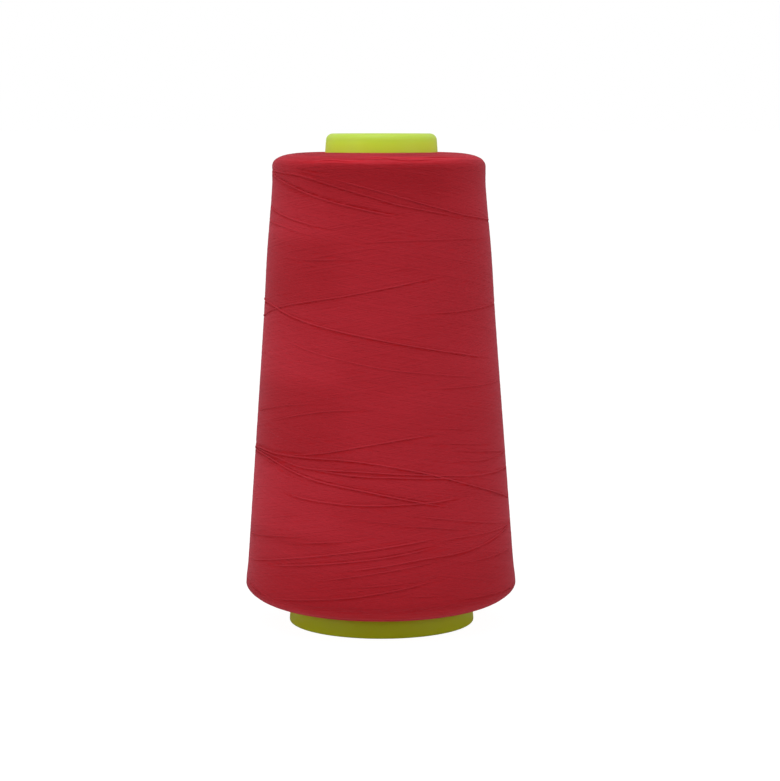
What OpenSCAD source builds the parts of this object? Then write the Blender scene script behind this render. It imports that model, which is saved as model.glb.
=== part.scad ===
// Cone of sewing thread: a one-piece moulded cone with a cross-wound thread package on it.
// Millimetres, +Z up. The origin is the centre of the base that the cone stands on.

/* [Cone] */
// Height of the bare cone
core_h = 115; // [105:1:130]
// Outside diameter of the cone at its base
core_base_d = 43; // [38:0.5:50]
// Half angle of the cone's side, in degrees
core_taper = 4.33; // [3.5:0.01:5]
// Thickness of the cone's wall
core_wall = 1.2; // [0.8:0.1:1.6]

/* [Nose] */
// Radius of the nose's rounded outer edge
nose_edge_r = 1.6; // [0.8:0.1:2]
// Thickness of the plate across the nose
nose_plate_t = 1.5; // [1:0.1:2.5]
// Diameter of the bore through the nose
nose_bore_d = 17; // [12:0.5:18]
// Length of the bore's straight wall
nose_bore_l = 4; // [3:0.5:8]
// Radius of the bore's rounded upper edge
nose_lip_r = 0.8; // [0.4:0.1:1.2]
// Chamfer of the bore's lower edge, where a spindle enters
nose_lead = 0.5; // [0.3:0.1:0.8]
// Thickness of the collar round the bore
nose_collar_t = 1.2; // [1:0.1:1.6]

/* [Base rim] */
// Width of the rim that the cone stands on
rim_w = 1.8; // [1.7:0.1:3]
// Height of the rim
rim_h = 3; // [2:0.5:6]
// Radius of the rim's outer edge
rim_edge_r = 0.4; // [0.2:0.1:0.8]

/* [Grip grooves] */
// Distance from one groove under the thread to the next
groove_pitch = 8; // [5:0.5:16]
// Width of a groove at the cone's surface
groove_w = 1.4; // [0.8:0.1:2]
// Depth of a groove
groove_depth = 0.3; // [0.2:0.05:0.4]

/* [Thread] */
// Diameter of the sewing thread
thread_d = 0.25; // [0.2:0.01:0.4]
// Bare cone below the thread
base_collar = 4.3; // [3:0.1:10]
// Bare cone above the thread
nose_collar = 4.3; // [3:0.1:10]
// Depth of the thread over the cone, at the lower shoulder
depth_low = 11; // [8:0.1:16]
// Depth of the thread over the cone, at the upper shoulder
depth_high = 11.2; // [8:0.1:16]
// Height of the lower shoulder
shoulder_low = 5.1; // [3:0.1:10]
// Height of the upper shoulder
shoulder_high = 2.7; // [1.5:0.1:8]
// Fullness of the lower shoulder, where 2 is a true ellipse
fullness_low = 1.9; // [1.6:0.1:3]
// Fullness of the upper shoulder
fullness_high = 2.3; // [1.6:0.1:3]
// Loops of the outer layer
loops = 24; // [8:1:24]

/* [Clearances] */
// Space between the cone and the thread wound on it
core_gap = 0.05; // [0.02:0.01:0.2]
// Space between the outer layer and the thread beneath it
layer_gap = 0.05; // [0.02:0.01:0.1]

/* [Hidden] */
$fn = 96;

// Steps along a rounded edge and along a shoulder
edge_steps = 8;
shoulder_steps = 14;
// Rings round one loop of the outer layer, and sides of its tube
loop_rings = 24;
tube_sides = 6;
// Steps of the turn at each end of the outer layer's tube
bend_steps = 3;
// Share of a groove's width that is its flat floor
groove_floor = 0.5;
// How far a cut runs past the face that it opens
cut = 0.2;

bore_r = nose_bore_d / 2;
wall_r = core_wall / cos(core_taper);
land_end_z = core_h - nose_lip_r - nose_bore_l;
plate_z = core_h - nose_plate_t;
rim_r = core_base_d / 2 - rim_w;

wind_z0 = base_collar;
wind_z1 = core_h - nose_collar;
flank_z0 = wind_z0 + shoulder_low;
flank_z1 = wind_z1 - shoulder_high;
flank_r0 = core_r(flank_z0) + depth_low;
flank_r1 = core_r(flank_z1) + depth_high;
flank_slope = (flank_r1 - flank_r0) / (flank_z1 - flank_z0);
flank_tilt = -atan(flank_slope);

// A straight stretch between two rings cuts inside the circle by this much
chord_sag = max(flank_r0, flank_r1) * (1 - cos(180 / loop_rings));
// Height of the outer layer's centre line over the thread beneath it
lay_h = max(chord_sag + thread_d / 2, 2 * thread_d) + layer_gap;
layer_t = lay_h + thread_d / 2;
bend_r = lay_h - layer_gap - thread_d;

// Radius of the cone's outer surface, of its inner surface and of the wound thread, at a height
function core_r(z) = core_base_d / 2 - z * tan(core_taper);
function core_in_r(z) = core_r(z) - wall_r;
function flank_r(z) = flank_r0 + (z - flank_z0) * flank_slope;

function arc(centre, radius, from, to, steps) =
    [for (i = [0:steps])
        let (a = from + (to - from) * i / steps)
        centre + radius * [cos(a), sin(a)]];

// A quarter of a superellipse from end_r, end_z on the end face to side_r, side_z on the flank
function shoulder(end_r, end_z, side_r, side_z, fullness) =
    [for (i = [0:shoulder_steps])
        let (a = 90 * i / shoulder_steps)
        let (out = pow(sin(a), 2 / fullness))
        let (up = pow(cos(a), 2 / fullness))
        [end_r + (side_r - end_r) * out, side_z + (end_z - side_z) * up]];

function reversed(list) = [for (i = [len(list) - 1:-1:0]) list[i]];

// Centre of a rounded edge of radius r between the cone's side and a level face at height z
function edge_centre(z, r) = [core_r(z) - r / cos(core_taper), z];

groove_count = floor((flank_z1 - flank_z0) / groove_pitch);
groove_z0 = (flank_z0 + flank_z1 - (groove_count - 1) * groove_pitch) / 2;

function groove(z) =
    [for (end = [-1, -groove_floor, groove_floor, 1])
        let (at = z + end * groove_w / 2)
        [core_r(at) - (abs(end) < 1 ? groove_depth : 0), at]];

// The cone's outside, with its nose still closed
module cone_outside() {
    base_edge = arc(edge_centre(rim_edge_r, rim_edge_r), rim_edge_r, -90, core_taper, edge_steps);
    grooves = [for (i = [0:groove_count - 1]) each groove(groove_z0 + i * groove_pitch)];
    nose_z = core_h - nose_edge_r;
    nose_edge = arc(edge_centre(nose_z, nose_edge_r), nose_edge_r, core_taper, 90, edge_steps);
    rotate_extrude()
        polygon(concat([[0, 0]], base_edge, grooves, nose_edge, [[0, core_h]]));
}

// The hollow inside, which is narrower at the rim
module cone_hollow() {
    rim_bevel = core_in_r(rim_h) - rim_r;
    rotate_extrude()
        polygon([
            [0, -cut],
            [rim_r, -cut],
            [rim_r, rim_h],
            [core_in_r(rim_h + rim_bevel), rim_h + rim_bevel],
            [core_in_r(plate_z), plate_z],
            [0, plate_z]]);
}

// What the bore takes out of the nose plate and of the collar below it
module nose_bore() {
    first_step = 90 / edge_steps;
    lip_centre = [bore_r + nose_lip_r, core_h - nose_lip_r];
    lip = arc(lip_centre, nose_lip_r, 90 + first_step, 180, edge_steps - 1);
    rotate_extrude()
        polygon(concat(
            [[0, core_h + cut], [lip_centre[0], core_h + cut], [lip_centre[0], core_h]],
            lip,
            [[bore_r, land_end_z],
            [bore_r + nose_lead + cut, land_end_z - nose_lead - cut],
            [0, land_end_z - nose_lead - cut]]));
}

module cone_core() {
    collar_z = land_end_z - nose_lead;
    color([0.72, 0.80, 0.24])
        difference() {
            union() {
                difference() {
                    cone_outside();
                    cone_hollow();
                }
                translate([0, 0, collar_z])
                    cylinder(h = core_h - nose_lip_r - collar_z, r = bore_r + nose_collar_t);
            }
            nose_bore();
        }
}

module thread_package() {
    low_r = core_r(wind_z0) + core_gap;
    high_r = core_r(wind_z1) + core_gap;
    low = shoulder(low_r, wind_z0, flank_r0 - layer_t, flank_z0, fullness_low);
    high = shoulder(high_r, wind_z1, flank_r1 - layer_t, flank_z1, fullness_high);
    color([0.58, 0.11, 0.15])
        rotate_extrude()
            polygon(concat(low, reversed(high)));
}

// A place on the outer layer's helix: its centre, the way it runs, and the surface's normal
function lay_point(turn) =
    let (z = flank_z1 + (flank_z0 - flank_z1) * turn / loops)
    let (r = flank_r(z) - thread_d / 2)
    let (a = 90 + 360 * turn)
    [r * cos(a), r * sin(a), z];

function lay_normal(turn) =
    let (a = 90 + 360 * turn)
    [cos(flank_tilt) * cos(a), cos(flank_tilt) * sin(a), sin(flank_tilt)];

function unit(v) = v / norm(v);

function lay_run(turn) =
    let (small = 1 / 1000)
    unit(lay_point(turn + small) - lay_point(turn - small));

// The tube's end, which bends down from the helix and meets the thread beneath it squarely
function tail(turn, way) =
    let (p = lay_point(turn))
    let (n = lay_normal(turn))
    let (run = way * lay_run(turn))
    let (bend = [for (i = [1:bend_steps])
        let (a = 90 * i / bend_steps)
        [p + bend_r * (sin(a) * run - (1 - cos(a)) * n),
            way * (cos(a) * run - sin(a) * n),
            cos(a) * n + sin(a) * run]])
    let (last = bend[bend_steps - 1])
    concat(bend, [[last[0] - thread_d * n, last[1], last[2]]]);

function lay_frames() =
    concat(
        reversed(tail(0, -1)),
        [for (i = [0:loops * loop_rings])
            let (turn = i / loop_rings)
            [lay_point(turn), lay_run(turn), lay_normal(turn)]],
        tail(loops, 1));

// Least space between the tube and itself, half a turn or more further along
function least_gap(points) =
    min([for (i = [0:len(points) - 1])
        for (j = [i + loop_rings / 2:min(i + 2 * loop_rings, len(points) - 1)])
            norm(points[i] - points[j])]) - thread_d;

module tube(frames) {
    rings = len(frames);
    points = [for (f = frames)
        let (side = cross(f[1], f[2]))
        for (k = [0:tube_sides - 1])
            let (a = 360 * k / tube_sides)
            f[0] + thread_d / 2 * (cos(a) * f[2] + sin(a) * side)];
    walls = [for (i = [0:rings - 2])
        for (k = [0:tube_sides - 1])
            let (a = i * tube_sides + k)
            let (b = i * tube_sides + (k + 1) % tube_sides)
            each [[a, a + tube_sides, b], [b, a + tube_sides, b + tube_sides]]];
    last = (rings - 1) * tube_sides;
    first_cap = [for (k = [1:tube_sides - 2]) [0, k, k + 1]];
    last_cap = [for (k = [1:tube_sides - 2]) [last, last + k + 1, last + k]];
    polyhedron(points, concat(walls, first_cap, last_cap));
}

module outer_winding() {
    frames = lay_frames();
    echo(str("outer_winding loops ", loops, ", least gap to itself ",
        least_gap([for (f = frames) f[0]]), " mm"));
    color([0.66, 0.14, 0.19])
        tube(frames);
}

cone_core();
thread_package();
outer_winding();
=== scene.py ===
# %% [markdown]
# # A cone of sewing thread
# Overlock thread is sold on a hollow plastic cone: the thread is wound up and down it in crossing
# turns, and pulled off over the narrow nose. The cone stands on a spindle, or on a table as here.
# This script makes what the eye sees: the moulded plastic, and the thread as real strands that lie
# over and under each other.

# %% Load the measured model
import math

import bpy
import numpy as np
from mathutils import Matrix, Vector


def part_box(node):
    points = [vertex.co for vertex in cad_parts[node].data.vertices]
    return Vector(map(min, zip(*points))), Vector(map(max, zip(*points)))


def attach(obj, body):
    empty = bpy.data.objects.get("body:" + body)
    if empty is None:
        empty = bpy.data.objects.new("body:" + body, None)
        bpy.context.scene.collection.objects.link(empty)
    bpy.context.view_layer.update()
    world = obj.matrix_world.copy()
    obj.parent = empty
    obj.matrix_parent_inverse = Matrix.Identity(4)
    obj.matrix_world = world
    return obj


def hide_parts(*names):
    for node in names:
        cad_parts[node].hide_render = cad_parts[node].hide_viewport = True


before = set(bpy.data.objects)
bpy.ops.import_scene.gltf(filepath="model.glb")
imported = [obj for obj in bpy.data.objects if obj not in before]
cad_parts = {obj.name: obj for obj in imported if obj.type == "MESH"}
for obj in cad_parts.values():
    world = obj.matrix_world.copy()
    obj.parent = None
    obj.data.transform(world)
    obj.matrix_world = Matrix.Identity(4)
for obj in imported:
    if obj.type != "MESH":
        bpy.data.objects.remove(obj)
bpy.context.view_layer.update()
MM = 0.001

# %% [markdown]
# ## Sizes
# Everything is worked out from the measured pieces and a few sizes of a sewing cone: the slope of its
# side, the depth of the thread on it, and the two rounded shoulders where the winding turns back.
# Inside this script lengths are millimetres, and become metres only when a mesh is made.

# %% Sizes of the cone and of the thread on it
core_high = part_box("cone_core")[1] / MM
pack_low, pack_high = (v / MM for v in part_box("thread_package"))
CORE_H = core_high.z
CORE_BASE_R = 21.5
TAPER = math.radians(4.33)
WALL = 1.2
BORE_R = 8.5
THREAD_D = 0.25
PACK_Z0, PACK_Z1 = pack_low.z, pack_high.z
SHOULDER_LOW, SHOULDER_HIGH = 5.1, 3.6
FULLNESS_LOW, FULLNESS_HIGH = 1.87, 3.0
DEPTH_LOW, DEPTH_HIGH = 11.06, 11.2


def core_r(z):
    """Radius of the cone's outside at a height."""
    return CORE_BASE_R - z * math.tan(TAPER)


print("cone", round(CORE_H, 2), "mm high, thread from", round(PACK_Z0, 2), "to", round(PACK_Z1, 2))

# %% [markdown]
# ## Camera
# A product shot: a long lens half a metre away, at the height of the nose and tipped down a little, so
# that the top shows as a thin band and the base as a shallow curve.

# %% Camera
CAMERA_X, CAMERA_Y, CAMERA_Z = 2.0, -540.3, 117.5
CAMERA_TIP = math.radians(6.62)
CAMERA_LENS, CAMERA_SENSOR = 106.4, 36
NEAREST_SEEN = 10
bpy.ops.object.select_all(action="DESELECT")
bpy.ops.object.camera_add(location=(CAMERA_X * MM, CAMERA_Y * MM, CAMERA_Z * MM))
camera = bpy.context.object
camera.name = "shot_camera"
camera.rotation_euler = (math.pi / 2 - CAMERA_TIP, 0, 0)
camera.data.sensor_width = CAMERA_SENSOR
camera.data.lens = CAMERA_LENS
camera.data.clip_start = NEAREST_SEEN * MM
bpy.context.scene.camera = camera
print("camera lens", camera.data.lens, "mm")

# %% [markdown]
# ## Floor and light
# A white sweep, with one soft box overhead and one to each side. The world is white to the eye, but
# lights the thread less than it looks, so that the colour stays deep. Light Path tells the two apart.
# The floor lights the underside of the cone as pale card would, and glows for the eye alone, so that
# hardly a shadow shows on it.

# %% Floor
FLOOR_SIZE = 60
FLOOR_SHOWN, FLOOR_GLOW, FLOOR_GIVEN = 0.15, 0.96, 0.8
bpy.ops.object.select_all(action="DESELECT")
bpy.ops.mesh.primitive_plane_add(size=FLOOR_SIZE, location=(0, 0, 0))
floor = bpy.context.object
floor.name = "floor"


def grey(level):
    """A grey that isn't see-through, from 0, black, to 1, white."""
    return (level, level, level, 1)


def seen_and_given(tree, shown, given):
    """A shader that the camera sees as one shader and that lights things as another."""
    path = tree.nodes.new("ShaderNodeLightPath")
    mix = tree.nodes.new("ShaderNodeMixShader")
    tree.links.new(path.outputs["Is Camera Ray"], mix.inputs["Fac"])
    tree.links.new(given, mix.inputs[1])
    tree.links.new(shown, mix.inputs[2])
    return mix.outputs["Shader"]


floor_look = bpy.data.materials.new("pale_floor")
floor_look.use_nodes = True
tree = floor_look.node_tree
tree.nodes.clear()
shown = tree.nodes.new("ShaderNodeBsdfDiffuse")
shown.inputs["Color"].default_value = grey(FLOOR_SHOWN)
glow = tree.nodes.new("ShaderNodeEmission")
glow.inputs["Strength"].default_value = FLOOR_GLOW
both = tree.nodes.new("ShaderNodeAddShader")
tree.links.new(shown.outputs["BSDF"], both.inputs[0])
tree.links.new(glow.outputs["Emission"], both.inputs[1])
given = tree.nodes.new("ShaderNodeBsdfDiffuse")
given.inputs["Color"].default_value = grey(FLOOR_GIVEN)
out = tree.nodes.new("ShaderNodeOutputMaterial")
tree.links.new(
    seen_and_given(tree, both.outputs["Shader"], given.outputs["BSDF"]), out.inputs["Surface"]
)
floor.data.materials.append(floor_look)
print("floor", FLOOR_SIZE, "m across")

# %% World and lights
WORLD_GIVEN = 0.48
world = bpy.data.worlds.new("white_sweep")
bpy.context.scene.world = world
world.use_nodes = True
tree = world.node_tree
tree.nodes.clear()
shown = tree.nodes.new("ShaderNodeBackground")
shown.inputs["Color"].default_value = grey(1)
given = tree.nodes.new("ShaderNodeBackground")
given.inputs["Color"].default_value = grey(1)
given.inputs["Strength"].default_value = WORLD_GIVEN
out = tree.nodes.new("ShaderNodeOutputWorld")
tree.links.new(
    seen_and_given(tree, shown.outputs["Background"], given.outputs["Background"]),
    out.inputs["Surface"],
)


def soft_light(name, place, aim, size, power):
    """A square soft box at a place, in mm, turned towards a point."""
    bpy.ops.object.select_all(action="DESELECT")
    bpy.ops.object.light_add(type="AREA", location=[v * MM for v in place])
    lamp = bpy.context.object
    lamp.name = name
    lamp.data.shape = "SQUARE"
    lamp.data.size = size * MM
    lamp.data.energy = power
    towards = Vector(aim) - Vector(place)
    lamp.rotation_euler = towards.to_track_quat("-Z", "Y").to_euler()
    print(name, "at", place, "mm,", power, "W")


MIDDLE = (0, 0, 60)
OVERHEAD_BOX_AT = (-60, -120, 700)
RIGHT_BOX_AT = (780, -450, 300)
LEFT_BOX_AT = (-RIGHT_BOX_AT[0], *RIGHT_BOX_AT[1:])
soft_light("overhead_box", OVERHEAD_BOX_AT, MIDDLE, size=400, power=1.9)
soft_light("left_box", LEFT_BOX_AT, MIDDLE, size=500, power=1.7)
soft_light("right_box", RIGHT_BOX_AT, MIDDLE, size=500, power=1.4)
bpy.context.scene.view_settings.view_transform = "Standard"
bpy.context.scene.view_settings.look = "None"

# %% [markdown]
# ## The package's outline
# Thread is wound back and forth, so the package is a cone with rounded shoulders. One curve down its
# side describes it all: from the cone at the top, over the upper shoulder, down the flank and round
# the lower shoulder. Turns pile up a little where they turn back, so the flank swells there. A place
# on the package is then two numbers: how far down that curve, and how far round. Every strand below
# is a line in those two numbers.


# %% Outline of the package
def shoulder(end_r, end_z, side_r, side_z, fullness, steps=60):
    """A quarter of a superellipse, from the end face to the flank."""
    a = np.linspace(0, math.pi / 2, steps)
    out = np.sin(a) ** (2 / fullness)
    up = np.cos(a) ** (2 / fullness)
    return np.c_[end_r + (side_r - end_r) * out, side_z + (end_z - side_z) * up]


FLANK_STEPS = 100
FLANK_Z0 = PACK_Z0 + SHOULDER_LOW
FLANK_Z1 = PACK_Z1 - SHOULDER_HIGH
FLANK_R0 = core_r(FLANK_Z0) + DEPTH_LOW
FLANK_R1 = core_r(FLANK_Z1) + DEPTH_HIGH
upper = shoulder(core_r(PACK_Z1), PACK_Z1, FLANK_R1, FLANK_Z1, FULLNESS_HIGH)
lower = shoulder(core_r(PACK_Z0), PACK_Z0, FLANK_R0, FLANK_Z0, FULLNESS_LOW)[::-1]
flank = np.linspace(upper[-1], lower[0], FLANK_STEPS)[1:-1]
outline = np.vstack([upper, flank, lower])
# Each swelling of the flank is a height, how far it stands out, and how wide it is.
SWELLS = ((FLANK_Z1, 0.3, 1.8), (87, 0.22, 7), (FLANK_Z0 + 1, 0.18, 1.8))
for height, rise, width in SWELLS:
    outline[:, 0] += rise * np.exp(-0.5 * ((outline[:, 1] - height) / width) ** 2)
steps = np.hypot(*np.diff(outline, axis=0).T)
down = np.r_[0, np.cumsum(steps)]
DOWN_END = down[-1]
FLANK_TOP = down[len(upper) - 1]
FLANK_BOTTOM = down[len(upper) + len(flank)]
slope = np.gradient(outline, down, axis=0)
slope /= np.linalg.norm(slope, axis=1)[:, None]


def outline_at(t):
    """Radius, height and outward normal of the package a distance t down its outline."""
    r, z = np.interp(t, down, outline[:, 0]), np.interp(t, down, outline[:, 1])
    tr, tz = np.interp(t, down, slope[:, 0]), np.interp(t, down, slope[:, 1])
    return r, z, -tz, tr


# The package was wound a hair off the cone's middle, more so at the top.
LEAN_LOW, LEAN_HIGH = -0.16, -0.6


def off_middle(z):
    """How far to the right of the cone's middle the package's lies, at a height."""
    share = (z - FLANK_Z0) / (FLANK_Z1 - FLANK_Z0)
    return LEAN_LOW + (LEAN_HIGH - LEAN_LOW) * share


def place(t, round_, depth):
    """Points in mm, a distance down the outline, an angle round from the front, and a depth."""
    r, z, nr, nz = outline_at(t)
    r, z = r + depth * nr, z + depth * nz
    return np.stack([r * np.sin(round_) + off_middle(z), -r * np.cos(round_), z], axis=-1)


def normal(t, round_):
    """The package's outward normal at the same place."""
    _, _, nr, nz = outline_at(t)
    return np.stack([nr * np.sin(round_), -nr * np.cos(round_), nz], axis=-1)


print("outline", round(DOWN_END, 1), "mm long, flank", round(FLANK_BOTTOM - FLANK_TOP, 1), "mm")

# %% [markdown]
# ## The moulded cone
# One piece of plastic with a thin wall. It is round about its axis, so it is drawn as half a section
# and spun, as a potter turns a profile. The section holds what makes it look moulded: the soft edge
# of the nose, the lip and collar of the bore, and the thicker rim it stands on.


# %% A lathe: draw a section, then spin it
def arc(centre, radius, start, end, count):
    """Points along an arc, with its ends in degrees."""
    angles = np.radians(np.linspace(start, end, count))
    return [(centre[0] + radius * math.cos(a), centre[1] + radius * math.sin(a)) for a in angles]


# Points nearer to each other than this, in mm, are merged.
TOUCHING = 0.002


def lathe(name, section, turns=192):
    """Extrudes a point round a closed section, in mm, and spins it about the Z axis."""
    bpy.ops.object.select_all(action="DESELECT")
    bpy.ops.mesh.primitive_plane_add(size=MM, location=(0, 0, 0))
    piece = bpy.context.object
    piece.name = piece.data.name = name
    bpy.ops.object.mode_set(mode="EDIT")
    bpy.ops.mesh.merge(type="CENTER")
    here = Vector((0, 0, 0))
    for i, (r, z) in enumerate(section):
        there = Vector((r * MM, 0, z * MM))
        if i == 0:
            bpy.ops.transform.translate(value=there - here)
        else:
            bpy.ops.mesh.extrude_region_move(TRANSFORM_OT_translate={"value": there - here})
        here = there
    bpy.ops.mesh.select_all(action="SELECT")
    bpy.ops.mesh.edge_face_add()
    bpy.ops.mesh.delete(type="ONLY_FACE")
    bpy.ops.mesh.select_all(action="SELECT")
    bpy.ops.mesh.spin(steps=turns, angle=2 * math.pi, center=(0, 0, 0), axis=(0, 0, 1))
    bpy.ops.mesh.select_all(action="SELECT")
    bpy.ops.mesh.remove_doubles(threshold=TOUCHING * MM)
    bpy.ops.mesh.normals_make_consistent(inside=False)
    bpy.ops.object.mode_set(mode="OBJECT")
    print(name, len(piece.data.polygons), "faces")
    return piece


# %% [markdown]
# The section is followed once round, as a pencil would: up the outside from the rim, over the nose,
# down the bore and its collar, and back down the inside of the wall. Round edges are short arcs. They
# catch a line of light, which is what tells the eye that plastic was moulded and not cut.

# %% Section of the moulded cone
NOSE_EDGE_R = 1.6
LIP_R = 0.8
BORE_L = 4.0
LEAD = 0.5
COLLAR_T = 1.2
PLATE_T = 1.5
RIM_W, RIM_H, RIM_EDGE_R = 1.8, 3.0, 0.4
FILLET = 0.5
RIM_FLARE, RIM_FADE, RIM_CHAMFER = 0.4, 0.8, 0.3
RIM_HEIGHTS, SIDE_FROM = (2, 3, 4, 4.4, 4.8), 6
SHARPEST_SMOOTH = math.radians(40)
wall_r = WALL / math.cos(TAPER)
tip = math.degrees(TAPER)
nose_z = CORE_H - NOSE_EDGE_R
land_z = CORE_H - LIP_R - BORE_L
plate_z = CORE_H - PLATE_T
rim_r = CORE_BASE_R - RIM_W
inner_top = core_r(plate_z) - wall_r


def side_centre(z, radius):
    """Centre of an arc that eases the cone's side into a level face."""
    return (core_r(z) - radius / math.cos(TAPER), z)


def rim_flare(z):
    """The rim stands out a little, up to where the thread starts."""
    return RIM_FLARE * min(max((PACK_Z0 + RIM_FADE / 2 - z) / RIM_FADE, 0), 1)


section = []
edge_r, edge_z = side_centre(RIM_EDGE_R, RIM_EDGE_R)
section += arc((edge_r + RIM_FLARE, edge_z), RIM_EDGE_R, -90, tip, 6)
section += [(core_r(z) + rim_flare(z), z) for z in RIM_HEIGHTS]
section += [(core_r(z), z) for z in np.linspace(SIDE_FROM, nose_z - 1, 24)]
section += arc(side_centre(nose_z, NOSE_EDGE_R), NOSE_EDGE_R, tip, 90, 12)
section += arc((BORE_R + LIP_R, CORE_H - LIP_R), LIP_R, 90, 180, 8)
section += [(BORE_R, land_z + 1), (BORE_R, land_z), (BORE_R + LEAD, land_z - LEAD)]
section += [(BORE_R + COLLAR_T, land_z - LEAD)]
section += arc((BORE_R + COLLAR_T + FILLET, plate_z - FILLET), FILLET, 180, 90, 4)
section += arc((inner_top - FILLET, plate_z - FILLET), FILLET, 90, 0, 4)
section += [(core_r(z) - wall_r, z) for z in np.linspace(plate_z - 2, RIM_H + 1.5, 20)]
section += [(rim_r, RIM_H), (rim_r, 1), (rim_r, RIM_CHAMFER), (rim_r + RIM_CHAMFER, 0)]
moulded_cone = lathe("moulded_cone", section)
bpy.ops.object.shade_smooth_by_angle(angle=SHARPEST_SMOOTH)
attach(moulded_cone, "root")
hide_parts("cone_core")

# %% [markdown]
# ## Laying the thread
# The outside of the package is one strand in a few hundred passes, each climbing over those before
# it. Guessing which strand lies on top never looks right, so the winding is done over again. A
# height map of the package, unrolled, starts bare. Each pass asks the map how high it has to lie,
# is pulled straight a little, as a taut thread is, and is then added to the map.

# %% The height map and one pass of thread
COLUMNS = 2048
ROW = 0.08
ROWS = int(DOWN_END / ROW) + 3
COLUMN = 2 * math.pi / COLUMNS
# How far a strand beds into those below it, and the length over which it is pulled straight.
SINK, PULL = 0.05, 1.2
heights = np.zeros((ROWS, COLUMNS), np.float32)


def bell_of(width):
    """Weights in the shape of a bell, its width in steps, that add up to 1."""
    x = np.arange(-3 * width, 3 * width + 1)
    bell = np.exp(-0.5 * (x / width) ** 2)
    return bell / bell.sum()


def smooth(values, width):
    """A running mean weighted by a bell."""
    return np.convolve(np.pad(values, 3 * width, "edge"), bell_of(width), "valid")


def lay(first, t):
    """Lays one strand that is t down the outline at each column from first on, and returns how high
    its middle lies."""
    columns = ((first + np.arange(len(t))) % COLUMNS)[:, None]
    rows = np.floor(t / ROW).astype(int)[:, None] + np.arange(-1, 3)
    across = rows * ROW - t[:, None]
    arch = np.sqrt(np.maximum((THREAD_D / 2) ** 2 - across**2, 0))
    under = (np.abs(across) < THREAD_D / 2) & (rows >= 0) & (rows < ROWS)
    rows = rows.clip(0, ROWS - 1)
    there = heights[rows, columns]
    held = np.where(under, there + arch, 0).max(1)
    step = outline_at(t.mean())[0] * COLUMN
    middle = smooth(held, max(int(PULL / step), 1)) - SINK
    heights[rows, columns] = np.where(under, np.maximum(there, middle[:, None] + arch), there)
    return middle


print("height map", ROWS, "rows down,", COLUMNS, "columns round")

# %% [markdown]
# A pass runs down or up the package at a steady angle, and eases to a stop at each end before it
# turns back. Successive passes start about 0.618 of a turn apart, which spreads them evenly, as the
# cam of a winding machine does, and each wanders a little.

# %% One pass, and how it wanders
dice = np.random.default_rng(7)
PASS_STEPS = 400
# Radius of the bend in which a pass turns back, and the square of the share of its slope left there.
TURN_R, LEVEL = 40.0, 0.003
# How far a strand wanders, in mm, about how many columns apart, and over how many that is smoothed.
WANDER, WANDER_EVERY, WANDER_SOFT = 0.15, 120, 50


def one_pass(angle, start, end):
    """How far down the outline a pass is at each column that it crosses."""
    t = np.linspace(start, end, PASS_STEPS)
    rise = math.tan(math.radians(angle))
    ease = TURN_R * rise**2 / 2
    rise = rise * np.sqrt(np.clip(np.minimum(t - start, end - t) / ease, LEVEL, 1))
    rate = 1 / (outline_at(t)[0] * rise)
    turned = np.r_[0, np.cumsum(np.diff(t) * (rate[1:] + rate[:-1]) / 2)]
    return np.interp(np.arange(int(turned[-1] / COLUMN)) * COLUMN, turned, t)


def wander(t):
    """The same line, wandering a little to either side."""
    knots = dice.normal(0, WANDER, len(t) // WANDER_EVERY + 4)
    off = np.interp(np.arange(len(t)), np.linspace(0, len(t), len(knots)), knots)
    return t + smooth(off, WANDER_SOFT)


# %% Turns round the shoulders
SHOULDER_TURNS = 110
# The turns' shortest and longest length, as shares of the way round, and how far they slant, in mm.
TURN_LENGTHS, TURN_SLANT = (0.4, 1.3), 0.5
# How far the turns keep from the ends of the outline, and how far they reach onto the flank.
TURN_EDGE, ON_FLANK_TOP, ON_FLANK_BOTTOM = 0.2, 1.5, 2
TURNS_LAST = DOWN_END - TURN_EDGE


def shoulder_turn(t_from, t_to):
    """Part of a turn, or a little more, that runs almost level round a shoulder."""
    count = int(dice.uniform(*TURN_LENGTHS) * COLUMNS)
    level = dice.uniform(t_from, t_to)
    t = wander(level + np.linspace(0, dice.normal(0, TURN_SLANT), count))
    return dice.integers(COLUMNS), t.clip(TURN_EDGE, TURNS_LAST)


strands = []
for i in range(SHOULDER_TURNS):
    top, bottom = (TURN_EDGE, FLANK_TOP + ON_FLANK_TOP), (FLANK_BOTTOM - ON_FLANK_BOTTOM, TURNS_LAST)
    first, t = shoulder_turn(*(top if i % 2 else bottom))
    strands.append((first, t, lay(first, t)))
print(SHOULDER_TURNS, "turns laid round the shoulders")

# %% Passes of the winding
PASSES = 330
GOLDEN = (math.sqrt(5) - 1) / 2
# Where a pass starts, as a share of the way round, is this uncertain.
START_SPREAD = 0.01
COIL_ANGLE, COIL_SPREAD = 10.2, 0.8
# How far past the flank passes turn back on average, and how far they keep from the outline's ends.
PAST_TOP, PAST_BOTTOM, PASS_EDGE = 1.2, 1.5, 0.4
for i in range(PASSES):
    start = max(FLANK_TOP - dice.exponential(PAST_TOP), PASS_EDGE)
    end = min(FLANK_BOTTOM + dice.exponential(PAST_BOTTOM), DOWN_END - PASS_EDGE)
    t = wander(one_pass(dice.normal(COIL_ANGLE, COIL_SPREAD), start, end))
    t = t if i % 2 else t[::-1]
    first = int((i * GOLDEN + dice.normal(0, START_SPREAD)) % 1 * COLUMNS)
    strands.append((first, t, lay(first, t)))
print(PASSES, "passes laid,", round(sum(len(s[1]) for s in strands) / COLUMNS), "turns")
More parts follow.
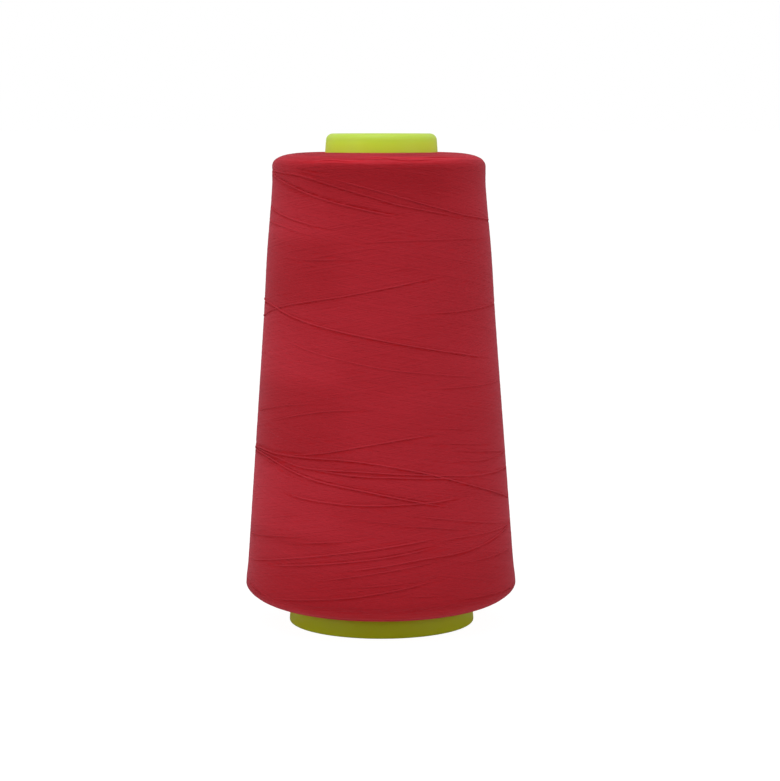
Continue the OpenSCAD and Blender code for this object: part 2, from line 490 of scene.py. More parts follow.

# %% [markdown]
# Now and then a pass lies loose on the rest: it catches the light along its upper side, and the thread
# next to it parts a little, which shows as a dark line. These are the lines that the eye follows, so
# they are listed one by one, each as a few points of (degrees round from the front, height in mm).
# More like them go all round the back.

# %% Loose strands
# Each is (how far the thread parts above it and below it, how high it lies, its points). The first
# three go from 0 to 1, and a line with no height is a parting alone.
# A loose strand is also painted lighter the higher it lies, a painted highlight, and where the thread beside
# it parts, the dye gives it painted shade.
LOOSE = [
    (0, 0.5, 0.9, [(-48, 108.6), (-29, 109.2), (-25, 109.4), (-16, 108.8), (-8, 109.4), (0, 109.8)]),
    (0, 0.4, 0.9, [(-18, 110), (-7, 110), (1, 109.8), (16, 109), (26, 109.3), (44, 109.5)]),
    (0, 0.8, None, [(2, 110.1), (14, 109.9), (26, 109.9)]),
    (0, 0.3, 0.8, [(12, 109.6), (25, 109.8), (42, 109.8), (60, 109.6)]),
    (0.2, 0.85, 0.5, [(-90, 107), (-66, 106.3), (-49, 106), (-35, 104.8), (-4, 101.1), (11, 99.1), (50, 96)]),
    (0.1, 0.2, 1, [(-32, 105.6), (-20, 104.6), (9, 101.3), (22, 99.6), (47, 96.9), (70, 95.7), (100, 94.5)]),
    (0, 0.8, None, [(16, 100.6), (30, 98.8), (47, 96.9), (70, 95.7), (95, 94.7)]),
    (0, 1, None, [(-50, 106.7), (-40, 106.3), (-28, 105.1)]),
    (0, 1, None, [(-50, 107.6), (-38, 106.9), (-24, 106.4)]),
    (1, 0.5, 0.9, [(-95, 107), (-68, 104.9), (-54, 103.4), (-28, 100.2), (4, 97.1), (15, 96.3)]),
    (0, 0.7, None, [(-68, 104.9), (-55, 102.9), (-34, 100.5)]),
    (0.1, 0.8, 0.4, [(-95, 99.8), (-77, 98.1), (-33, 94.4), (-22, 93.6)]),
    (0.1, 0.5, 0.3, [(-100, 96), (-82, 95.1), (-58, 94.2), (-39, 92.5), (-30, 91.8)]),
    (0, 0.3, 0.2, [(-20, 90.7), (16, 91.4), (47, 91.5), (75, 91)]),
    (0, 0.35, 0.2, [(-55, 86.6), (-30, 86.9), (-5, 87.2)]),
    (0.1, 0.8, 0.5, [(-110, 71), (-78, 73.4), (-53, 76.2), (-20, 78.7), (23, 82.6), (32, 83.2)]),
    (0.2, 1, 0.9, [(-110, 77), (-67, 76.2), (-41, 73.2), (-29, 72), (25, 67), (52, 64.8), (65, 63.8)]),
    (0, 0.5, None, [(-52, 75), (-39, 73.7), (-22, 72.5)]),
    (0, 0.3, None, [(-4, 70.4), (20, 68.9)]),
    (0, 0.5, 0.3, [(15, 74.9), (49, 75.3), (63, 75.7), (95, 76)]),
    (0, 0.25, 0.3, [(-60, 69.6), (-33, 66.2), (3, 62.7), (39, 60.7), (60, 59.6)]),
    (0, 0.35, 0.2, [(15, 58.2), (59, 58), (85, 58)]),
    (0, 0.45, 0.4, [(-65, 48.8), (-40, 51.8), (-23, 53.3), (0, 53.8)]),
    (0, 0.3, 0.2, [(-95, 49.6), (-72, 51.5), (-45, 54), (-20, 55)]),
    (0, 0.35, 0.2, [(15, 49.4), (31, 49.2), (55, 47.6)]),
    (
        0.2, 1, 1,
        [(-95, 42), (-68, 42.7), (-54, 42.3), (-15, 42.4), (0, 41.5), (18, 39.7), (62, 32.9), (90, 29)],
    ),
    (0, 0.7, None, [(-95, 42.9), (-67, 43.4), (-57, 43.1), (-30, 43.5)]),
    (0, 0.75, 0.7, [(-45, 42.4), (-26, 43.6), (-9, 45.4), (14, 47.4), (30, 48)]),
    (0.8, 1, 1, [(-100, 41.8), (-66, 41.6), (-56, 40.8), (-31, 37.5), (-6, 35.5), (21, 32.4), (33, 31)]),
    (0, 0.7, None, [(-68, 41), (-54, 39.9), (-42, 37.9), (-30, 36.8)]),
    (0.3, 0.9, 0.8, [(-95, 42.6), (-68, 42.1), (-53, 41.6), (-36, 39.9), (-9, 39.9), (23, 38.8), (35, 38.2)]),
    (0.3, 0.9, 0.8, [(-35, 39.9), (-24, 39.5), (-7, 38.7), (5, 38.6), (33, 37.8), (45, 37)]),
    (0, 0.6, 0.5, [(15, 38.9), (30, 38.5), (46, 37.7), (64, 37.6), (95, 37.5)]),
    (0, 0.5, None, [(36, 39.1), (52, 38.4), (60, 38.2)]),
    (0.3, 0.8, 0.9, [(-50, 34.2), (-37, 33.1), (-13, 32.3), (0, 32.3), (27, 32.7), (42, 33.5)]),
    (0, 0.45, 0.2, [(18, 46), (31, 45.8), (65, 44)]),
    (0, 0.5, 0.2, [(32, 44), (58, 42.7), (85, 41)]),
    (0, 0.5, 0.3, [(32, 41.5), (52, 40.9), (90, 41.6)]),
    (0, 0.5, 0.4, [(8, 30.3), (28, 28.8), (55, 26.4), (75, 24.8)]),
    (0, 0.5, 0.3, [(0, 28), (22, 27.2), (48, 25)]),
    (0, 0.35, 0.3, [(-14, 29), (5, 28.5), (20, 26.9)]),
    (0, 0.5, 0.3, [(-90, 21.5), (-60, 23), (-43, 24.1), (-30, 24)]),
    (0, 0.6, 0.5, [(-45, 22.3), (-26, 23.5), (-5, 24.7)]),
    (0.2, 0.6, 0.8, [(-80, 15.6), (-54, 17.9), (-17, 21.3), (5, 23.1), (30, 25)]),
    (0.7, 0.6, 0.8, [(-60, 16.1), (-44, 17.3), (4, 20.7), (28, 23)]),
    (0, 0.7, 0.7, [(-20, 16.9), (22, 20.4), (30, 20.4), (45, 21.3), (60, 22.8), (90, 25.5)]),
    (0, 0.5, 0.5, [(-32, 14.2), (-8, 16.6), (19, 18.9), (30, 19.8)]),
    (0, 0.5, 0.4, [(18, 23.2), (31, 24.2), (58, 24.3), (90, 24.5)]),
    (0, 0.3, 0.5, [(30, 18.2), (56, 18.6), (85, 19)]),
    (0, 0.4, 0.3, [(-20, 13.4), (20, 15.3)]),
    (0.1, 0.6, 0.5, [(-60, 8.7), (-46, 9.4), (-13, 11.4), (5, 13.1), (30, 15.8)]),
    (0, 0.5, 0.3, [(-85, 11.5), (-59, 9.8), (-48, 8.5), (-38, 7.5)]),
    (0, 0.4, 0.2, [(28, 10.4), (55, 10), (85, 9.8)]),
    (0, 0.3, 0.2, [(2, 11.9), (17, 11.8), (35, 11)]),
]
# Their corners are smoothed over this many columns.
LOOSE_SOFT = 24


def laid(points):
    """The first column and the line of a strand through points of (degrees, height)."""
    degrees, z = np.array(points).T
    first, last = (np.radians(degrees[[0, -1]]) / COLUMN).astype(int)
    columns = np.arange(first, last)
    across = np.interp(columns * COLUMN, np.radians(degrees), z)
    t = np.interp(-smooth(across, LOOSE_SOFT), -outline[:, 1], down)
    return first, t


loose = [(*look, *laid(points)) for *look, points in LOOSE]
print(len(loose), "loose strands and partings on the front")

# %% Loose strands behind
LOOSE_BEHIND = 26
# The part of the way round that they keep to, and how much of it each takes, in degrees.
BEHIND_FROM, BEHIND_TO = 98, 262
SPANS = (50, 120)
# Their heights, how far they fall in a whole turn, and how much they bow, in mm.
BEHIND_HEIGHTS, FALLS, BOW = (14, 102), (10, 36), 0.6
for i in range(LOOSE_BEHIND):
    span = dice.uniform(*SPANS)
    room = BEHIND_TO - BEHIND_FROM - span
    middle = BEHIND_FROM + span / 2 + room * (i + dice.uniform(0.1, 0.9)) / LOOSE_BEHIND
    z = dice.uniform(*BEHIND_HEIGHTS)
    fall = dice.choice([-1, 1]) * dice.uniform(*FALLS) * span / 360
    bow = dice.normal(0, BOW)
    points = [(middle - span / 2, z + fall / 2), (middle, z + bow), (middle + span / 2, z - fall / 2)]
    look = (dice.uniform(0, 0.5), dice.uniform(0.2, 1), dice.uniform(0.2, 1))
    loose.append((*look, *laid(points)))
print(len(loose), "loose strands and partings in all")

# %% [markdown]
# A parting is a soft groove just above or below a loose strand, and fades out towards the strand's
# ends. All of them go into a second map of the same size as the first, which later says how far each
# place sinks, and how dark it is painted, a painted shade with the painted red of light gone from
# strand to strand.

# %% The thread parts beside a loose strand
# How deep and how wide a parting is, and how far beside the strand, in mm.
PART_DEPTH, PART_WIDTH, PART_OFF = 0.175, 0.18, 0.3
# Columns over which a parting fades out, and rows to either side that it reaches.
PART_FADE, PART_REACH = 40, 7
# How much more the bottom of a parting counts than its sides.
PART_POWER = 1.5
parted = np.zeros((ROWS, COLUMNS), np.float32)
for above, below, _, first, t in loose:
    columns = (first + np.arange(len(t))) % COLUMNS
    fade = np.minimum(np.arange(len(t)), len(t) - 1 - np.arange(len(t))) / PART_FADE
    for part, off in ((above, -PART_OFF), (below, PART_OFF)):
        for k in range(-PART_REACH, PART_REACH + 1):
            rows = (np.round((t + off) / ROW).astype(int) + k).clip(0, ROWS - 1)
            bell = np.exp(-0.5 * ((rows * ROW - t - off) / PART_WIDTH) ** 2)
            depth = part * PART_DEPTH * bell * fade.clip(0, 1)
            parted[rows, columns] = np.maximum(parted[rows, columns], depth)


def in_parting(gap):
    """How far a place lies in a parting, from 0 to 1, of which the bottom counts most."""
    return (gap / PART_DEPTH) ** PART_POWER


print("partings up to", round(float(parted.max()), 3), "mm deep")

# %% [markdown]
# Each layer also presses down those beneath it. The map says how thick the winding has grown round
# each place, and every strand is let down by that much, so that the outside keeps its outline. What is
# left is the relief, which is flattened, because soft thread beds into its neighbours.

# %% Settle the winding
# The share of the relief that is left, and how far inside the outline the strands settle, in mm.
RELIEF, SKIN = 0.035, 0.05
# The map is thinned out to every fourth row and eighth column, and then evened out.
THIN_ROWS, THIN_COLUMNS = 4, 8
EVEN_ROWS, EVEN_COLUMNS = 6, 8


def blur(field, width, axis):
    """A running mean of a map, which wraps round the package on axis 1."""
    pads = ((0, 0), (3 * width, 3 * width)) if axis else ((3 * width, 3 * width), (0, 0))
    wide = np.pad(field, pads, "wrap" if axis else "edge")
    count = field.shape[axis]
    total = np.zeros_like(field)
    for k, w in enumerate(bell_of(width)):
        total += w * (wide[:, k : k + count] if axis else wide[k : k + count])
    return total


coarse = blur(blur(heights[::THIN_ROWS, ::THIN_COLUMNS], EVEN_ROWS, 0), EVEN_COLUMNS, 1)


def grown(t, round_):
    """How thick the laid thread is about a place."""
    row = (t / (THIN_ROWS * ROW)).clip(0, coarse.shape[0] - 1.001)
    column = round_ / (THIN_COLUMNS * COLUMN) % coarse.shape[1]
    i, j = row.astype(int), column.astype(int)
    u, v = row - i, column - j
    k = (j + 1) % coarse.shape[1]
    j = j % coarse.shape[1]
    upper_mean = coarse[i, j] * (1 - v) + coarse[i, k] * v
    lower_mean = coarse[i + 1, j] * (1 - v) + coarse[i + 1, k] * v
    return upper_mean * (1 - u) + lower_mean * u


print("winding grown", round(float(coarse.max()), 2), "mm at its thickest")

# %% [markdown]
# ## From lines to thread
# A strand is a thin tube along its line. Blender's curves could be bevelled for this, but hundreds of
# long ones are slow, so the rings of many tubes are worked out together and made into one mesh. Each
# tube has its own strip of the UV map that textures are baked to, and a second map, in mm along the
# thread, for what follows it. Each point also carries two marks that its material reads: its strand's
# tone, and how far it lies between strands.


# %% Rings of a tube
RING_EVERY = 18
# Rings of (outwards, sideways) in mm. A wound strand is pressed nearly flat, a loose one is round.
FLAT = np.array([(0.007, -0.1), (0.007, 0.1), (0, 0.13), (-0.05, 0), (0, -0.13)])
LOOSE_R = 0.14
ROUND = LOOSE_R * np.array([(math.cos(a), math.sin(a)) for a in np.radians(np.arange(0, 360, 45))])
# A valley beside a strand is a little like a parting, on the same scale from 0 to 1, and gets a
# little of its painted shade.
VALLEY = 0.15


def rings_of(first, t, depth):
    """The columns kept, and a ring's centre, outward normal and direction to the side at each."""
    keep = np.unique(np.r_[0 : len(t) : RING_EVERY, len(t) - 1])
    round_ = (first + keep) * COLUMN
    t, depth = t[keep], depth[keep]
    centre = place(t, round_, depth)
    out = normal(t, round_)
    run = np.gradient(centre, axis=0)
    side = np.cross(run, out)
    side /= np.linalg.norm(side, axis=1)[:, None]
    return keep, centre, out, side


# %% One mesh of many tubes
def thread_piece(name, lines, section=FLAT, tones=None):
    """One mesh of closed tubes along lines of (first column, t, depth, gap). The section is a ring of
    points of (outwards, sideways) in mm. A tone goes from 0, dark, to 1, and more where a loose strand
    is painted lighter, a painted highlight. Partings and the valleys beside a strand are marked as
    lying between strands, which the dye turns into painted shade."""
    sides = len(section)
    valley = VALLEY * (section[:, 0] <= 0)
    points, quads, caps, along, tone, between = [], [], [], [], [], []
    base = 0
    tones = dice.uniform(0, 1, len(lines)) if tones is None else tones
    for (first, t, depth, gap), own in zip(lines, tones):
        keep, centre, out, side = rings_of(first, t, depth)
        n = len(centre)
        ring = out[:, None] * section[:, :1] + side[:, None] * section[:, 1:]
        points.append((centre[:, None] + ring).reshape(-1, 3))
        a = base + np.arange(n - 1)[:, None] * sides + np.arange(sides)
        b = base + np.arange(n - 1)[:, None] * sides + (np.arange(sides) + 1) % sides
        quads.append(np.stack([a, b, b + sides, a + sides], -1).reshape(-1, 4))
        caps.append(base + np.arange(sides)[::-1])
        caps.append(base + (n - 1) * sides + np.arange(sides))
        length = np.r_[0, np.cumsum(np.linalg.norm(np.diff(centre, axis=0), axis=1))]
        along.append(length)
        tone.append(np.full(n * sides, own))
        between.append(np.maximum(in_parting(gap[keep, None]), valley).ravel())
        base += n * sides
    piece = mesh_of(name, np.vstack(points), np.vstack(quads), np.array(caps))
    lay_out(piece, along, sides)
    for mark, values in (("tone", tone), ("between", between)):
        shade = piece.data.attributes.new(mark, "FLOAT", "POINT")
        shade.data.foreach_set("value", np.concatenate(values).astype(np.float32))
    print(name, len(lines), "strands,", 2 * len(piece.data.polygons), "triangles or so")
    return piece


def mesh_of(name, points, quads, caps):
    """A smooth mesh of quads and end caps, from arrays, in metres."""
    mesh = bpy.data.meshes.new(name)
    mesh.vertices.add(len(points))
    mesh.vertices.foreach_set("co", (points * MM).astype(np.float32).ravel())
    corners = np.r_[quads.ravel(), caps.ravel()]
    mesh.loops.add(len(corners))
    mesh.loops.foreach_set("vertex_index", corners.astype(np.int32))
    starts = np.r_[np.arange(len(quads)) * 4, quads.size + np.arange(len(caps)) * caps.shape[1]]
    mesh.polygons.add(len(starts))
    mesh.polygons.foreach_set("loop_start", starts.astype(np.int32))
    mesh.polygons.foreach_set("use_smooth", np.ones(len(starts), bool))
    mesh.update(calc_edges=True)
    mesh.validate()
    piece = bpy.data.objects.new(name, mesh)
    bpy.context.scene.collection.objects.link(piece)
    return piece


# %% UV maps of the tubes
# Each strand's strip leaves an edge free, so that colours don't run into the next.
STRIP_EDGE, STRIP_WIDTH = 0.1, 0.8


def lay_out(piece, along, sides):
    """Two UV maps: one strip per strand for baking, and one in mm along and turns round it."""
    rows = len(along)
    longest = max(a[-1] for a in along)
    strip_u, strip_v, run_u, run_v = [], [], [], []
    side = np.arange(sides)
    for i, length in enumerate(along):
        ends = np.stack([length[:-1], length[:-1], length[1:], length[1:]], -1)
        ends = np.repeat(ends[:, None], sides, 1).reshape(-1, 4)
        turn = np.stack([side, side + 1, side + 1, side], -1) / sides
        turn = np.tile(turn, (len(length) - 1, 1))
        strip_u.append(ends / longest)
        strip_v.append((i + STRIP_EDGE + STRIP_WIDTH * turn) / rows)
        run_u.append(ends)
        run_v.append(turn)
    cap_u, cap_v = [], []
    for i, length in enumerate(along):
        for end in (0, length[-1]):
            cap_u.append(np.full(sides, end / longest))
            cap_v.append((i + STRIP_EDGE + STRIP_WIDTH * side / sides) / rows)
    maps = {
        "OFBake": (np.vstack(strip_u), np.vstack(strip_v), np.array(cap_u), np.array(cap_v)),
        "along_thread": (
            np.vstack(run_u),
            np.vstack(run_v),
            np.array(cap_u) * longest,
            np.tile(side / sides, (2 * rows, 1)),
        ),
    }
    for name, (u, v, end_u, end_v) in maps.items():
        layer = piece.data.uv_layers.new(name=name)
        pairs = np.c_[np.r_[u.ravel(), end_u.ravel()], np.r_[v.ravel(), end_v.ravel()]]
        layer.uv.foreach_set("vector", pairs.astype(np.float32).ravel())


# %% [markdown]
# Every strand now takes its height from the settled map, less any parting, and its ends dive under
# their neighbours, so none is seen to stop. Fifty strands make a piece, which keeps each mesh small
# enough to work with. The loose strands are a piece of their own.

# %% Strands of the outer layers
DIVE, DIVE_LENGTH = 0.3, 9.0


def dive(t):
    """How far the ends of a strand are pushed under their neighbours."""
    step = outline_at(t.mean())[0] * COLUMN
    along = np.arange(len(t)) * step
    near = (np.minimum(along, along[-1] - along) / DIVE_LENGTH).clip(0, 1)
    return DIVE * (1 - near * near * (3 - 2 * near))


def settled(first, t, middle):
    """How high a strand lies against the outline, once the winding has settled, and its gap."""
    columns = first + np.arange(len(t))
    gap = parted[np.round(t / ROW).astype(int), columns % COLUMNS]
    return RELIEF * (middle - grown(t, columns * COLUMN)) - SKIN - gap - dive(t), gap


PER_PIECE = 50
thread_pieces = []
for start in range(0, len(strands), PER_PIECE):
    lines = [(f, t, *settled(f, t, m)) for f, t, m in strands[start : start + PER_PIECE]]
    thread_pieces.append(thread_piece(f"thread_passes_{start // PER_PIECE + 1}", lines))

# %% Loose strands on top
# How high a loose strand's middle lies, and how much lighter the highest is painted, on the scale of
# tones: a painted highlight along its lit upper side.
LIFT_LEAST, LIFT_MOST = -0.1, -0.02
LIT = 3
lift = LIFT_MOST - LIFT_LEAST
lying = [(lie, first, t) for _, _, lie, first, t in loose if lie is not None]
lines = [(first, t, LIFT_LEAST + lie * lift - dive(t), 0 * t) for lie, first, t in lying]
painted_highlight_tones = [1 + LIT * lie for lie, _, _ in lying]
thread_pieces.append(thread_piece("loose_strands", lines, ROUND, painted_highlight_tones))

# %% [markdown]
# ## The thread beneath
# Between the strands the layers below show. They are one smooth body, just under the lowest strands,
# spun on the same lathe as the cone. Its points are then pressed in where the thread parts.

# %% Body of thread beneath the strands
BED_DEPTH, BED_GAP = 0.08, 0.05
BED_STEPS, BED_TURNS = 420, 220
BED_SMOOTH = math.radians(60)
# Points this far outside the cone belong to the bed's outer side.
OUTER_FROM = 0.3
core_side = [(core_r(z) + BED_GAP, z) for z in np.linspace(PACK_Z0, PACK_Z1, 12)]
bed_t = np.linspace(0, DOWN_END, BED_STEPS)
r, z, nr, nz = outline_at(bed_t)
bed_side = list(zip(r - BED_DEPTH * nr, z - BED_DEPTH * nz))
bed_side[0] = (core_side[-1][0], bed_side[0][1])
bed_side[-1] = (core_side[0][0], bed_side[-1][1])
thread_bed = lathe("thread_bed", core_side[1:-1] + bed_side, BED_TURNS)
co = np.zeros(len(thread_bed.data.vertices) * 3, np.float32)
thread_bed.data.vertices.foreach_get("co", co)
co = co.reshape(-1, 3)
reach = np.hypot(co[:, 0], co[:, 1]) / MM
outer = reach > core_r(co[:, 2] / MM) + OUTER_FROM
round_ = np.arctan2(co[:, 0], -co[:, 1])
t = np.interp(-co[:, 2] / MM, -z, bed_t)
gap = parted[np.round(t / ROW).astype(int), np.round(round_ / COLUMN).astype(int) % COLUMNS]
gap[(t < FLANK_TOP - 1) | (t > FLANK_BOTTOM)] = 0
co[:, :2] *= (1 - outer * gap / reach)[:, None]
co[:, 0] += outer * off_middle(co[:, 2] / MM) * MM
thread_bed.data.vertices.foreach_set("co", co.ravel())
bpy.ops.object.shade_smooth_by_angle(angle=BED_SMOOTH)
# Painted shade: the bed counts at least as a valley all over, and as a parting where the thread parts, so the
# dye gives it the painted colour of a gap.
shade = thread_bed.data.attributes.new("between", "FLOAT", "POINT")
shade.data.foreach_set("value", np.maximum(in_parting(gap), VALLEY).astype(np.float32))

# %% What the pieces ride on and replace
for piece in [thread_bed, *thread_pieces]:
    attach(piece, "root")
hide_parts("thread_package")
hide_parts("outer_winding")
print(1 + len(thread_pieces), "pieces of thread")

# %% [markdown]
# ## Node helpers
# The nodes of both materials are made by a few helpers, so that a chain of them reads as a formula.
# Each helper takes numbers or the outputs of other nodes, and gives back an output.

# %% Node helpers
def fed_node(tree, kind, operation, values):
    """A node that does one operation on numbers or on other nodes' outputs."""
    node = tree.nodes.new(kind)
    node.operation = operation
    for socket, value in zip(node.inputs, values):
        if isinstance(value, bpy.types.NodeSocket):
            tree.links.new(value, socket)
        else:
            socket.default_value = value
    return node


def math_node(tree, operation, *values):
    """A sum, product or other result for numbers."""
    return fed_node(tree, "ShaderNodeMath", operation, values).outputs["Value"]


def vector_node(tree, operation, *values):
    """The same for vectors and colours."""
    node = fed_node(tree, "ShaderNodeVectorMath", operation, values)
    return node.outputs["Value" if operation == "LENGTH" else "Vector"]


def noise_node(tree, where, scale, detail=2):
    """Soft noise from 0 to 1 at a place."""
    node = tree.nodes.new("ShaderNodeTexNoise")
    node.inputs["Scale"].default_value = scale
    node.inputs["Detail"].default_value = detail
    tree.links.new(where, node.inputs["Vector"])
    return node.outputs["Fac"]


def place_nodes(tree):
    """A point's place on the object, then its x and its height alone."""
    where = tree.nodes.new("ShaderNodeTexCoord").outputs["Object"]
    apart = tree.nodes.new("ShaderNodeSeparateXYZ")
    tree.links.new(where, apart.inputs["Vector"])
    return where, apart.outputs["X"], apart.outputs["Z"]


def colours_by_height(tree, z, stops):
    """A colour ramp over the cone's height. Each stop is a height in mm and a colour."""
    ramp = tree.nodes.new("ShaderNodeValToRGB")
    tree.links.new(math_node(tree, "DIVIDE", z, CORE_H * MM), ramp.inputs["Fac"])
    elements = ramp.color_ramp.elements
    elements.remove(elements[1])
    elements[0].position = stops[0][0] / CORE_H
    elements[0].color = stops[0][1]
    for height, colour in stops[1:]:
        elements.new(height / CORE_H).color = colour
    return ramp.outputs["Color"]


# %% Material helpers
def new_material(name, settings):
    """A material whose shader has these settings, with its node tree and the shader itself."""
    material = bpy.data.materials.new(name)
    material.use_nodes = True
    shader = material.node_tree.nodes["Principled BSDF"]
    for socket, value in settings.items():
        shader.inputs[socket].default_value = value
    return material, material.node_tree, shader


def add_bump(tree, shader, height, strength, depth):
    """Turns a height into a bump of the shader's surface, its depth in mm."""
    bump = tree.nodes.new("ShaderNodeBump")
    bump.inputs["Strength"].default_value = strength
    bump.inputs["Distance"].default_value = depth * MM
    tree.links.new(height, bump.inputs["Height"])
    tree.links.new(bump.outputs["Normal"], shader.inputs["Normal"])


# %% [markdown]
# ## Plastic
# Polypropylene is milky: light goes a little way in and comes out again, so thin edges glow and the
# surface looks soft. Principled does this with Subsurface, whose radius is how far each colour
# travels. A colour ramp over the height paints light and shade onto the lime. It is deepest and
# brownest at the rim, a painted shade under the overhang of the thread with a painted red reflection
# in it. It is palest below the round edge of the nose, and the edge itself is painted dimmer and
# whiter, a painted shade against the overhead light and a painted highlight. The skin has the faint
# ripple of a mould.

# %% Lime plastic
PLASTIC = {
    "Roughness": 0.45,
    "Specular IOR Level": 0.2,
    "Subsurface Weight": 0.6,
    "Subsurface Radius": (1.0, 1.0, 0.6),
    "Subsurface Scale": 2.5 * MM,
}
# Heights in mm and their colours. The brownish lime at the rim is painted shade with a painted red
# reflection; the dimmer, whiter lime at the edge of the nose is painted shade and a painted highlight.
LIMES_WITH_PAINTED_LIGHT = (
    (6, (0.425, 0.485, 0.003, 1)),
    (34, (0.62, 0.9, 0.06, 1)),
    (113, (0.63, 0.92, 0.06, 1)),
    (114.3, (0.52, 0.7, 0.09, 1)),
)
RIPPLE_SCALE, RIPPLE_STRENGTH, RIPPLE_DEPTH = 400, 0.2, 0.02
plastic, tree, shader = new_material("lime_plastic", PLASTIC)
where, x, z = place_nodes(tree)
tree.links.new(colours_by_height(tree, z, LIMES_WITH_PAINTED_LIGHT), shader.inputs["Base Color"])
add_bump(tree, shader, noise_node(tree, where, RIPPLE_SCALE), RIPPLE_STRENGTH, RIPPLE_DEPTH)
moulded_cone.data.materials.append(plastic)
print("lime plastic:", len(tree.nodes), "nodes")

# %% [markdown]
# ## Thread
# Spun polyester is dull and a little furry, so it is rough, has hardly any shine and a breath of pink
# sheen at the edges. Its red is not quite even. Each strand took the dye a little differently, and
# clouds run round the package. The rest is painted light and shade. On the left side, bands are
# painted paler and deeper, standing for passes that catch the side light more or less. Under the top
# face and towards the bottom the red is painted deeper, a painted shade. The top face is painted
# brighter, with streaks of painted highlight that run round it, and the lower lip is painted a
# brighter red, a painted reflection of the pale floor. Between strands the red is painted purer, a
# painted shade with the painted red of light gone from strand to strand, and loose strands are painted
# lighter, a painted highlight. Both materials of the thread need all this, so it is one node group,
# which turns the plain red into the red of each place: it works out a few shares of that red, and
# multiplies it by them.

# %% The dye's group
dye = bpy.data.node_groups.new("thread_dye", "ShaderNodeTree")
dye.interface.new_socket("Color", in_out="INPUT", socket_type="NodeSocketColor")
dye.interface.new_socket("Color", in_out="OUTPUT", socket_type="NodeSocketColor")
plain = dye.nodes.new("NodeGroupInput").outputs["Color"]
result = dye.nodes.new("NodeGroupOutput").inputs["Color"]
where, x, z = place_nodes(dye)


def carried(name):
    """A number that each point of a piece of thread carries."""
    node = dye.nodes.new("ShaderNodeAttribute")
    node.attribute_name = name
    return node.outputs["Fac"]


def swing_node(mask, swing, middle):
    """Makes a mask from 0 to 1 swing this far to either side of a middle."""
    return math_node(dye, "MULTIPLY_ADD", mask, 2 * swing, middle - swing)


def ease_node(value, reach, from_, to):
    """Eases from one number to another as a length goes through a reach in mm."""
    node = dye.nodes.new("ShaderNodeMapRange")
    node.interpolation_type = "SMOOTHSTEP"
    low, high = reach
    limits = {"From Min": low * MM, "From Max": high * MM, "To Min": from_, "To Max": to}
    for socket, number in limits.items():
        node.inputs[socket].default_value = number
    dye.links.new(value, node.inputs["Value"])
    return node.outputs["Result"]


# %% Strands, clouds and zones of painted side light
TONE_SWING = 0.015
# Clouds are longer round the package than up and down it.
CLOUD_SWING, CLOUD_SCALE, CLOUD_DETAIL, CLOUD_SHAPE = 0.1, 55, 6, (0.6, 0.6, 1.6)
# Painted side light: how far each height leans to the paler side, 1, or the deeper, -1, in bands that
# stand for passes catching the light of the left box. Only the left half has them, and they fade out
# towards the middle.
SIDE_LIGHT_ZONES = (
    (20, 0), (23, -1), (26, 1), (38, 1), (42, -1), (57, -1), (61, 1),
    (74, 0.3), (78, -1), (90, -1), (93, 1), (102, 0.6), (107, 0), (110, -1),
)
SIDE_LIGHT_SWING, SIDE_LIGHT_FADE = 0.075, (-14, -5)
cloud_place = vector_node(dye, "MULTIPLY", where, CLOUD_SHAPE)
cloud = swing_node(noise_node(dye, cloud_place, CLOUD_SCALE, CLOUD_DETAIL), CLOUD_SWING, 1)
own = swing_node(carried("tone"), TONE_SWING, 1)
greys = [(height, grey(0.5 + shift / 2)) for height, shift in SIDE_LIGHT_ZONES]
lean = swing_node(colours_by_height(dye, z, greys), SIDE_LIGHT_SWING, 0)
side_light = math_node(dye, "MULTIPLY_ADD", lean, ease_node(x, SIDE_LIGHT_FADE, 1, 0), 1)

# %% Both ends of the package
# Painted shade: under the top face the thread is painted deeper, as if shaded by the shoulder, and
# more so near the middle than at the sides.
TOP_SHADE_REACH, TOP_FACE = (96, 105), (107.8, 109.3)
MIDDLE_PAINTED_SHADE, SIDE_PAINTED_SHADE, TO_SIDE = 0.16, 0.06, (10, 20)
# Painted shade: towards the bottom the thread is painted darker.
LOW_SHADE_REACH, LOW_SHADE_SHARE = (8, 24), 0.88
# The lower lip is painted a brighter red, a painted reflection of light from the pale floor.
LOW_LIP, LIP_PAINTED_LIGHT = (4.3, 9.5), 1.65
painted_shade = ease_node(math_node(dye, "ABSOLUTE", x), TO_SIDE, MIDDLE_PAINTED_SHADE, SIDE_PAINTED_SHADE)
below = math_node(dye, "MULTIPLY", ease_node(z, TOP_SHADE_REACH, 0, 1), painted_shade)
over = ease_node(z, TOP_FACE, 0, 1)
top_shade = math_node(dye, "MULTIPLY_ADD", over, below, math_node(dye, "SUBTRACT", 1, below))
low_shade = ease_node(z, LOW_SHADE_REACH, LOW_SHADE_SHARE, 1)
painted_floor_light = ease_node(z, LOW_LIP, LIP_PAINTED_LIGHT, 1)

# %% The top face
# It is painted brighter, a painted light from above, and most of all round the nose, where painted
# light lifts the nose's own shade. Streaks of painted highlight run round it.
TOP_PAINTED_LIGHT, ROUND_NOSE_PAINTED_LIGHT, ROUND_NOSE = 0.22, 0.4, (13, 17)
STREAK_SWING, STREAK_LENGTH, STREAK_WIDTH = 0.55, 12, 0.9
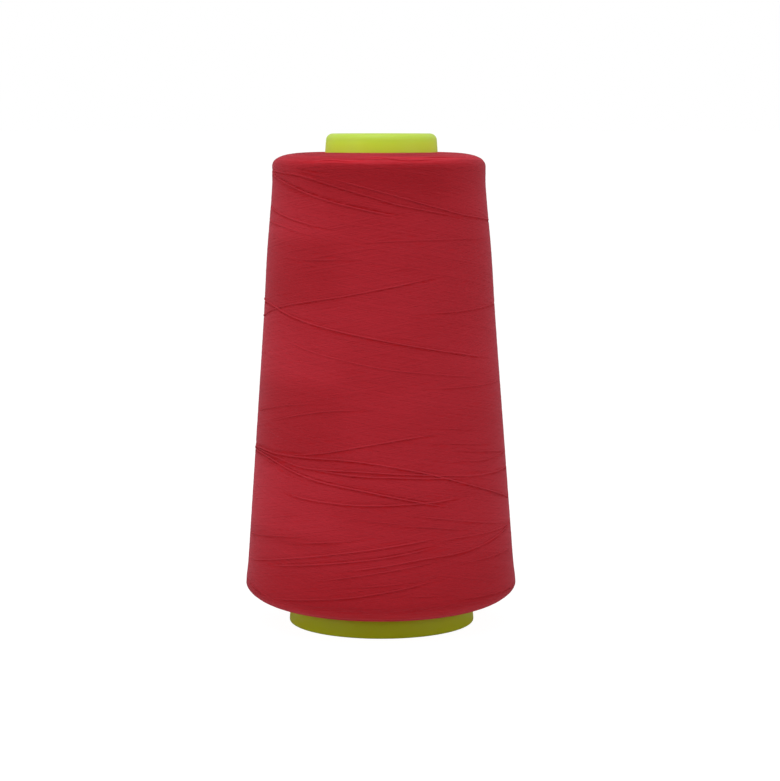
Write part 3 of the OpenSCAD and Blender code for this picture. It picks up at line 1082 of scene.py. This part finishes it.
# The streaks have that length at this radius.
STREAK_RADIUS = 18
AROUND = (STREAK_RADIUS / STREAK_LENGTH,) * 3
from_axis = vector_node(dye, "MULTIPLY", where, (1, 1, 0))
radius = vector_node(dye, "LENGTH", from_axis)
outward = vector_node(dye, "NORMALIZE", from_axis)
ring = dye.nodes.new("ShaderNodeCombineXYZ")
dye.links.new(math_node(dye, "DIVIDE", radius, STREAK_WIDTH * MM), ring.inputs["Z"])
streak_place = vector_node(dye, "MULTIPLY_ADD", outward, AROUND, ring.outputs["Vector"])
streak = swing_node(noise_node(dye, streak_place, 1), STREAK_SWING, 0)
by_nose = ease_node(radius, ROUND_NOSE, TOP_PAINTED_LIGHT + ROUND_NOSE_PAINTED_LIGHT, TOP_PAINTED_LIGHT)
top_painted_light = math_node(dye, "MULTIPLY_ADD", over, math_node(dye, "ADD", by_nose, streak), 1)

# %% Gaps between strands, and the colour of each place
# Painted light and shade: between strands the red is painted brighter and the green and blue
# darker, as light that goes from strand to strand makes them; and wherever the colour is deeper, its
# green and blue are painted to sink faster than its red.
REST_POWER = 2.2
PAINTED_RED_BETWEEN, PAINTED_SHADE_BETWEEN = 0.16, -0.66
depth = math_node(dye, "MULTIPLY", math_node(dye, "MULTIPLY", cloud, own), top_shade)
depth = math_node(dye, "MULTIPLY", depth, math_node(dye, "MULTIPLY", low_shade, side_light))
between = carried("between")
red = math_node(dye, "MULTIPLY", painted_floor_light, math_node(dye, "MULTIPLY_ADD", between, PAINTED_RED_BETWEEN, 1))
red = math_node(dye, "MULTIPLY", depth, red)
rest = math_node(dye, "MULTIPLY_ADD", between, PAINTED_SHADE_BETWEEN, 1)
rest = math_node(dye, "MULTIPLY", math_node(dye, "POWER", depth, REST_POWER), rest)
share = dye.nodes.new("ShaderNodeCombineXYZ")
for axis, value in zip("XYZ", (red, rest, rest)):
    dye.links.new(value, share.inputs[axis])
tinted = vector_node(dye, "MULTIPLY", plain, share.outputs["Vector"])
dye.links.new(vector_node(dye, "MULTIPLY", tinted, top_painted_light), result)
print("dye of the thread:", len(dye.nodes), "nodes")

# %% [markdown]
# The plies of the twist are a slanting ripple along the strand. It reads the second UV map, which is
# in mm along the strand and in turns round it, so the slant follows every bend. The bed has no
# strands of its own, and goes without.

# %% Red thread
THREAD = {
    "Roughness": 0.9,
    "Specular IOR Level": 0.04,
    "Sheen Weight": 0.14,
    "Sheen Roughness": 0.4,
    "Sheen Tint": (1, 0.72, 0.9, 1),
}
THREAD_RED = (0.429, 0.0202, 0.0306, 1)
# From one ply to the next it is this far along the strand, in mm.
PLIES, PLY_STEP = 2, 0.6
PLY_STRENGTH, PLY_DEPTH = 0.12, 0.006


def thread_material(name, twisted):
    """Red thread, with the ripple of its plies where a piece has strands."""
    material, tree, shader = new_material(name, THREAD)
    group = tree.nodes.new("ShaderNodeGroup")
    group.node_tree = dye
    group.inputs["Color"].default_value = THREAD_RED
    tree.links.new(group.outputs["Color"], shader.inputs["Base Color"])
    if twisted:
        uv = tree.nodes.new("ShaderNodeUVMap")
        uv.uv_map = "along_thread"
        parts = tree.nodes.new("ShaderNodeSeparateXYZ")
        tree.links.new(uv.outputs["UV"], parts.inputs["Vector"])
        turns = math_node(tree, "MULTIPLY", parts.outputs["Y"], PLIES)
        phase = math_node(tree, "MULTIPLY_ADD", parts.outputs["X"], 1 / PLY_STEP, turns)
        wave = math_node(tree, "SINE", math_node(tree, "MULTIPLY", phase, 2 * math.pi))
        add_bump(tree, shader, wave, PLY_STRENGTH, PLY_DEPTH)
    return material


strand_look = thread_material("red_thread", True)
for piece in thread_pieces:
    piece.data.materials.append(strand_look)
thread_bed.data.materials.append(thread_material("red_thread_beneath", False))
print("red thread on", 1 + len(thread_pieces), "pieces")
